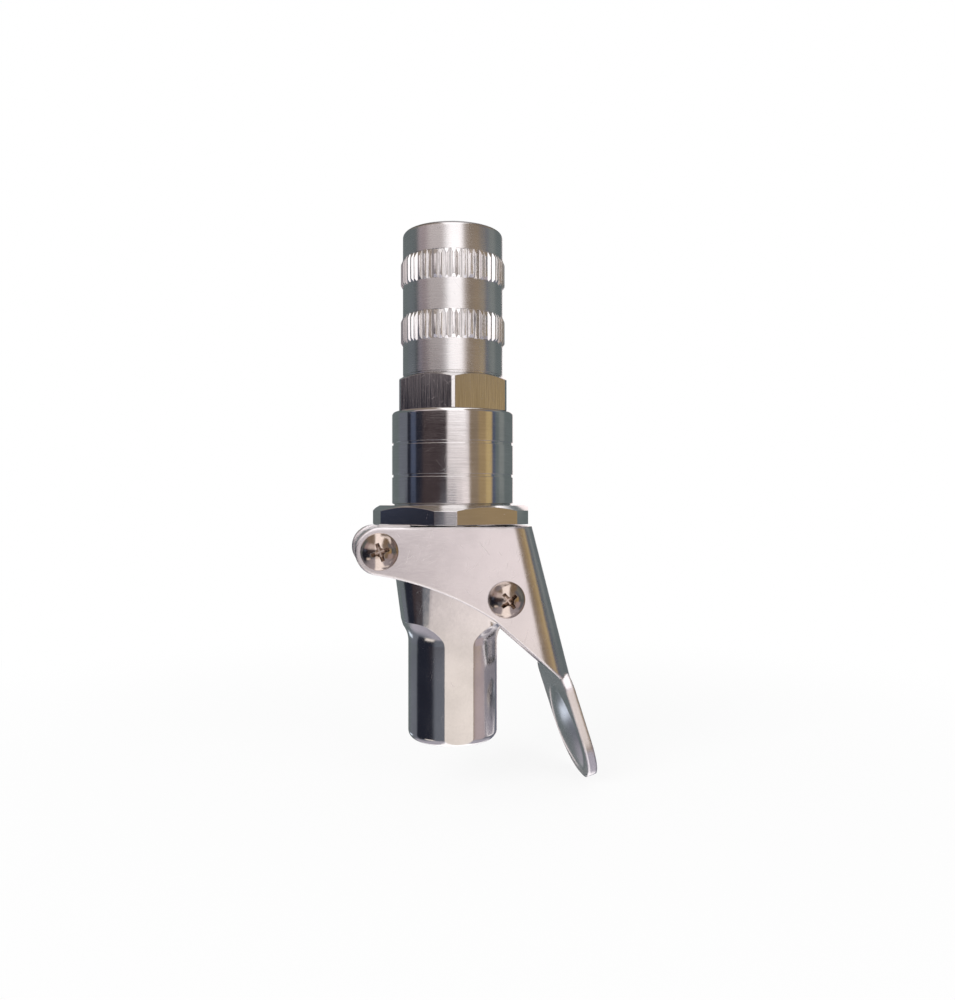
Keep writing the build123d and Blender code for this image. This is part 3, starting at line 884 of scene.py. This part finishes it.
@dataclass(frozen=True)
class SoftBox:
    """A soft box in front of the cards, by its angle and its rise."""

    start: float
    end: float
    foot: float
    top: float
    colour: Colour
    side_fade: float = 3.0
    rise_fade: float = 0.02

    def mask(self, turn: Wire, rise: Wire) -> Wire:
        """Mask the soft box.

        Args:
            turn: The angle that a ray meets the surround at.
            rise: The rise that it meets it at.

        Returns:
            One inside the soft box, fading to nought at its edges.
        """
        left = turn.step(self.start - self.side_fade, self.start + self.side_fade)
        right = turn.step(self.end + self.side_fade, self.end - self.side_fade)
        foot = rise.step(self.foot - self.rise_fade, self.foot + self.rise_fade)
        top = rise.step(self.top + self.rise_fade, self.top - self.rise_fade)
        return left * right * foot * top


GROUND: tuple[Card, ...] = (
    Card(-1.0, SLATE, 0.1), Card(-0.72, MIST, 0.3), Card(-0.26, WHITE, 0.10),
    Card(0.34, MIST, 0.10), Card(0.8, SLATE, 0.3))

TIERS: tuple[Tier, ...] = (
    Tier(-0.62, -0.50, (
        Card(-180.0, TEAL, 1.0), Card(-140.0, SLATE, 30.0), Card(-103.0, NAVY, 5.0),
        Card(-48.0, SLATE, 12.0), Card(-17.0, CREAM, 5.0), Card(33.0, UMBER, 4.0),
        Card(60.0, ROSE, 6.0), Card(94.0, SLATE, 10.0), Card(150.0, DUSK, 30.0))),
    Tier(-0.17, -0.10, (
        Card(-180.0, TEAL, 1.0), Card(-99.0, NAVY, 3.0), Card(-62.0, PLUM, 8.0),
        Card(-20.0, SLATE, 12.0), Card(8.0, FAWN, 5.0), Card(19.0, MILK, 8.0),
        Card(34.0, UMBER, 4.0), Card(52.0, OLIVE, 8.0), Card(66.0, AMBER, 4.0),
        Card(79.0, DUSK, 4.0), Card(90.0, TEAL, 8.0))),
    Tier(0.01, 0.05, (
        Card(-180.0, TEAL, 1.0), Card(-120.0, SLATE, 14.0), Card(-92.0, NAVY, 4.0),
        Card(-83.0, DUSK, 5.0), Card(-71.0, NAVY, 5.0), Card(-56.0, PLUM, 8.0),
        Card(-9.0, PEARL, 5.0), Card(32.0, UMBER, 5.0), Card(50.0, OLIVE, 8.0),
        Card(66.0, AMBER, 5.0), Card(80.0, DUSK, 4.0), Card(88.0, TEAL, 6.0),
        Card(98.0, ZINC, 6.0), Card(114.0, TEAL, 8.0))),
    Tier(0.20, 0.30, (
        Card(-180.0, TEAL, 1.0), Card(-85.0, ROSE, 12.0), Card(-58.0, PEARL, 18.0),
        Card(-16.0, WHITE, 14.0), Card(24.0, ASH, 10.0), Card(66.0, SLATE, 12.0),
        Card(90.0, ZINC, 10.0), Card(114.0, TEAL, 14.0))),
)

SOFT_BOXES: tuple[SoftBox, ...] = (
    SoftBox(-147.0, -129.0, -0.39, -0.30, GLASS),
    SoftBox(-78.0, -50.0, -0.58, -0.44, CREAM),
    SoftBox(-7.0, 26.0, 0.15, 0.26, WHITE),
    SoftBox(161.0, 186.0, -0.40, 0.45, MILK),
    SoftBox(-186.0, -173.0, -0.40, 0.45, MILK),
)

CEILING: tuple[Card, ...] = (
    Card(-1.0, TEAL, 0.1), Card(-0.75, ASH, 0.2), Card(-0.26, WHITE, 0.10),
    Card(0.34, UMBER, 0.10), Card(0.8, TEAL, 0.2))
CEILING_FOOT, CEILING_FULL = 0.56, 0.72


def side_by_side(sheet: NodeSheet, place: Wire, cards: tuple[Card, ...]) -> Wire | Colour:
    """Lay cards side by side.

    Args:
        sheet: The surround's shader.
        place: What the cards' starts are measured by.
        cards: The cards, the first of which begins before every other.

    Returns:
        The colour of the card that the direction meets.
    """
    colour: Wire | Colour = tinted(cards[0].colour, 1.0 / PLATING)
    for card in cards[1:]:
        edge = place.step(card.start - card.blend / 2.0, card.start + card.blend / 2.0)
        colour = sheet.mix(edge, colour, tinted(card.colour, 1.0 / PLATING))
    return colour


# Studio


@dataclass(frozen=True)
class Lamp:
    """A square lamp, its place in metres from the coupler and its power in watts."""

    name: str
    side: float
    rise: float
    power: float
    near: float = 0.45
    size: float = 0.4


LAMPS = (Lamp("key", -0.35, 0.35, 2.4), Lamp("fill", 0.4, 0.2, 1.2))


@dataclass(frozen=True)
class Studio:
    """Pale floor, soft lamps, the reflecting surround and the camera."""

    turn: float = math.radians(10.0)
    distance: float = 136.0
    aside: float = 3.95
    eye_height: float = 37.74
    lens: float = 30.6
    sensor: float = 36.0
    clipping: tuple[float, float] = (0.005, 20.0)
    floor_height: float = -7.25
    floor_half: float = 3.0
    floor_paint: float = 0.92
    floor_glow: float = 0.86
    shadow_reach: tuple[float, float] = (0.05, 0.16)
    daylight: float = 0.62
    surround_radius: float = 0.9

    def across(self) -> Vector:
        """Direction to the right in the picture."""
        return Vector((math.cos(self.turn), -math.sin(self.turn), 0.0))

    def back(self) -> Vector:
        """Direction from the coupler to the camera."""
        return Vector((-math.sin(self.turn), -math.cos(self.turn), 0.0))

    def place_camera(self) -> None:
        """Put the camera at the photograph's angle."""
        data = bpy.data.cameras.new("camera")
        data.sensor_width = self.sensor
        data.lens = self.lens
        data.clip_start, data.clip_end = self.clipping
        camera = in_scene("camera", data)
        spot = self.across() * self.aside + self.back() * self.distance + UP * self.eye_height
        camera.location = spot * MM
        camera.rotation_mode = "QUATERNION"
        camera.rotation_quaternion = (-self.back()).to_track_quat("-Z", "Y")
        bpy.context.scene.camera = camera

    def lay_floor(self) -> None:
        """Lay a pale floor that keeps the shadow and fades into the white backdrop."""
        bm = bmesh.new()
        bmesh.ops.create_grid(bm, x_segments=1, y_segments=1, size=self.floor_half)
        bmesh.ops.translate(bm, vec=(0.0, 0.0, self.floor_height * MM), verts=bm.verts)
        floor = in_scene("floor", mesh_of(bm, "floor"))
        material, sheet = blank_material("pale_floor")
        reach = sheet.add("ShaderNodeVectorMath", {"operation": "LENGTH"}, {0: sheet.own()},
                          "Value")
        far = reach.step(*self.shadow_reach)
        share = sheet.seen() * (self.floor_glow + (1.0 - self.floor_glow) * far)
        paint = sheet.add("ShaderNodeBsdfDiffuse", {}, {"Color": (self.floor_paint,) * 3})
        glow = sheet.add("ShaderNodeEmission", {}, {"Color": (1.0, 1.0, 1.0), "Strength": 1.0})
        shader = sheet.add("ShaderNodeMixShader", {}, {0: share, 1: paint, 2: glow})
        sheet.add("ShaderNodeOutputMaterial", {}, {"Surface": shader})
        floor.data.materials.append(material)
        floor.visible_glossy = False

    def light_world(self) -> None:
        """Even white light, and full white where the camera or polished metal sees it."""
        world = bpy.data.worlds.new("studio")
        bpy.context.scene.world = world
        world.use_nodes = True
        sheet = NodeSheet(world.node_tree)
        strength = self.daylight + (1.0 - self.daylight) * sheet.seen().step(0.0, 1.0)
        shade = sheet.add("ShaderNodeBackground", {},
                          {"Color": (1.0, 1.0, 1.0), "Strength": strength})
        sheet.add("ShaderNodeOutputWorld", {}, {"Surface": shade})

    def hang_lamps(self) -> None:
        """Hang two soft area lamps, one each side of the camera."""
        for lamp in LAMPS:
            data = bpy.data.lights.new(lamp.name, "AREA")
            data.shape, data.size, data.energy = "SQUARE", lamp.size, lamp.power
            hung = in_scene(lamp.name, data)
            hung.location = self.across() * lamp.side + self.back() * lamp.near + UP * lamp.rise
            aim = hung.location - UP * self.eye_height * MM
            hung.rotation_mode = "QUATERNION"
            hung.rotation_quaternion = (-aim).to_track_quat("-Z", "Y")
            hung.visible_glossy = False

    def stand_surround(self) -> None:
        """Stand the cards and soft boxes that polished metal mirrors, as one surround."""
        bm = bmesh.new()
        bmesh.ops.create_uvsphere(bm, u_segments=64, v_segments=32, radius=self.surround_radius)
        surround = in_scene("surround", mesh_of(bm, "surround"))
        material, sheet = blank_material("studio_cards")
        side, near = sheet.along(self.across()), sheet.along(self.back())
        rise = sheet.along(UP / self.surround_radius)
        turn = (sheet.add("ShaderNodeMath", {"operation": "ARCTAN2"}, {0: side, 1: near})
                * math.degrees(1.0))
        colour = side_by_side(sheet, side / self.surround_radius, GROUND)
        for tier in TIERS:
            colour = sheet.mix(rise.step(tier.foot, tier.full), colour,
                               side_by_side(sheet, turn, tier.cards))
        for box in SOFT_BOXES:
            colour = sheet.mix(box.mask(turn, rise), colour, tinted(box.colour, 1.0 / PLATING))
        colour = sheet.mix(rise.step(CEILING_FOOT, CEILING_FULL), colour,
                           side_by_side(sheet, side / self.surround_radius, CEILING))
        glow = sheet.add("ShaderNodeEmission", {}, {"Color": colour, "Strength": 1.0})
        sheet.add("ShaderNodeOutputMaterial", {}, {"Surface": glow})
        surround.data.materials.append(material)
        for kind in ("camera", "diffuse", "transmission", "volume_scatter", "shadow"):
            setattr(surround, f"visible_{kind}", False)

    def build(self) -> None:
        """Set up the whole studio."""
        self.place_camera()
        self.lay_floor()
        self.light_world()
        self.hang_lamps()
        self.stand_surround()
        bpy.context.scene.view_settings.view_transform = "Standard"


FULCRUM_TWIST = 18.0    # degrees that a fulcrum screw stands past the link screw beside it


def main() -> None:
    """Build the studio, the finishes and the detail pieces in order."""
    Studio().build()
    shop = FinishShop()
    shop.dress_nodes()
    knurl = shop.get(KNURL_BRIGHT)
    for band in (KnurledBand("knurl_lower", 62.3), KnurledBand("knurl_upper", 71.4)):
        band.build(knurl)
    screw = shop.get(SCREW_NICKEL)
    for side, outward, twist in (("front", -1, 20.0), ("back", 1, 55.0)):
        PanScrew(f"link_screw_{side}", "lever", x=-12.2, z=30.1, seat=8.4, shoulder_end=6.9,
                 grip=4.4, outward=outward, twist=twist).build(screw)
        PanScrew(f"fulcrum_screw_{side}", "body", x=7.0, z=22.6, seat=8.46, shoulder_end=6.75,
                 grip=4.2, outward=outward, twist=twist + FULCRUM_TWIST).build(screw)
    wire = shop.get(SPRING_WIRE)
    CoilSpring("main_spring", "slider_lift", radius=5.6, wire=1.6, bottom=37.52, top=50.0,
               turns=5.0, anchor=50.0, travel=3.23).build(wire)
    CoilSpring("plunger_spring", "plunger_press", radius=2.19, wire=0.5, bottom=55.0, top=64.0,
               turns=9.0, anchor=55.0, travel=2.8).build(wire)
    CoilSpring("check_spring", "check_lift", radius=1.64, wire=0.4, bottom=20.52, top=26.0,
               turns=6.0, anchor=26.0, travel=0.8).build(wire)
    InletThread().build(shop.get(BODY_NICKEL))


if __name__ == "__main__":
    logging.basicConfig(level=logging.INFO, format="%(message)s")
    main()
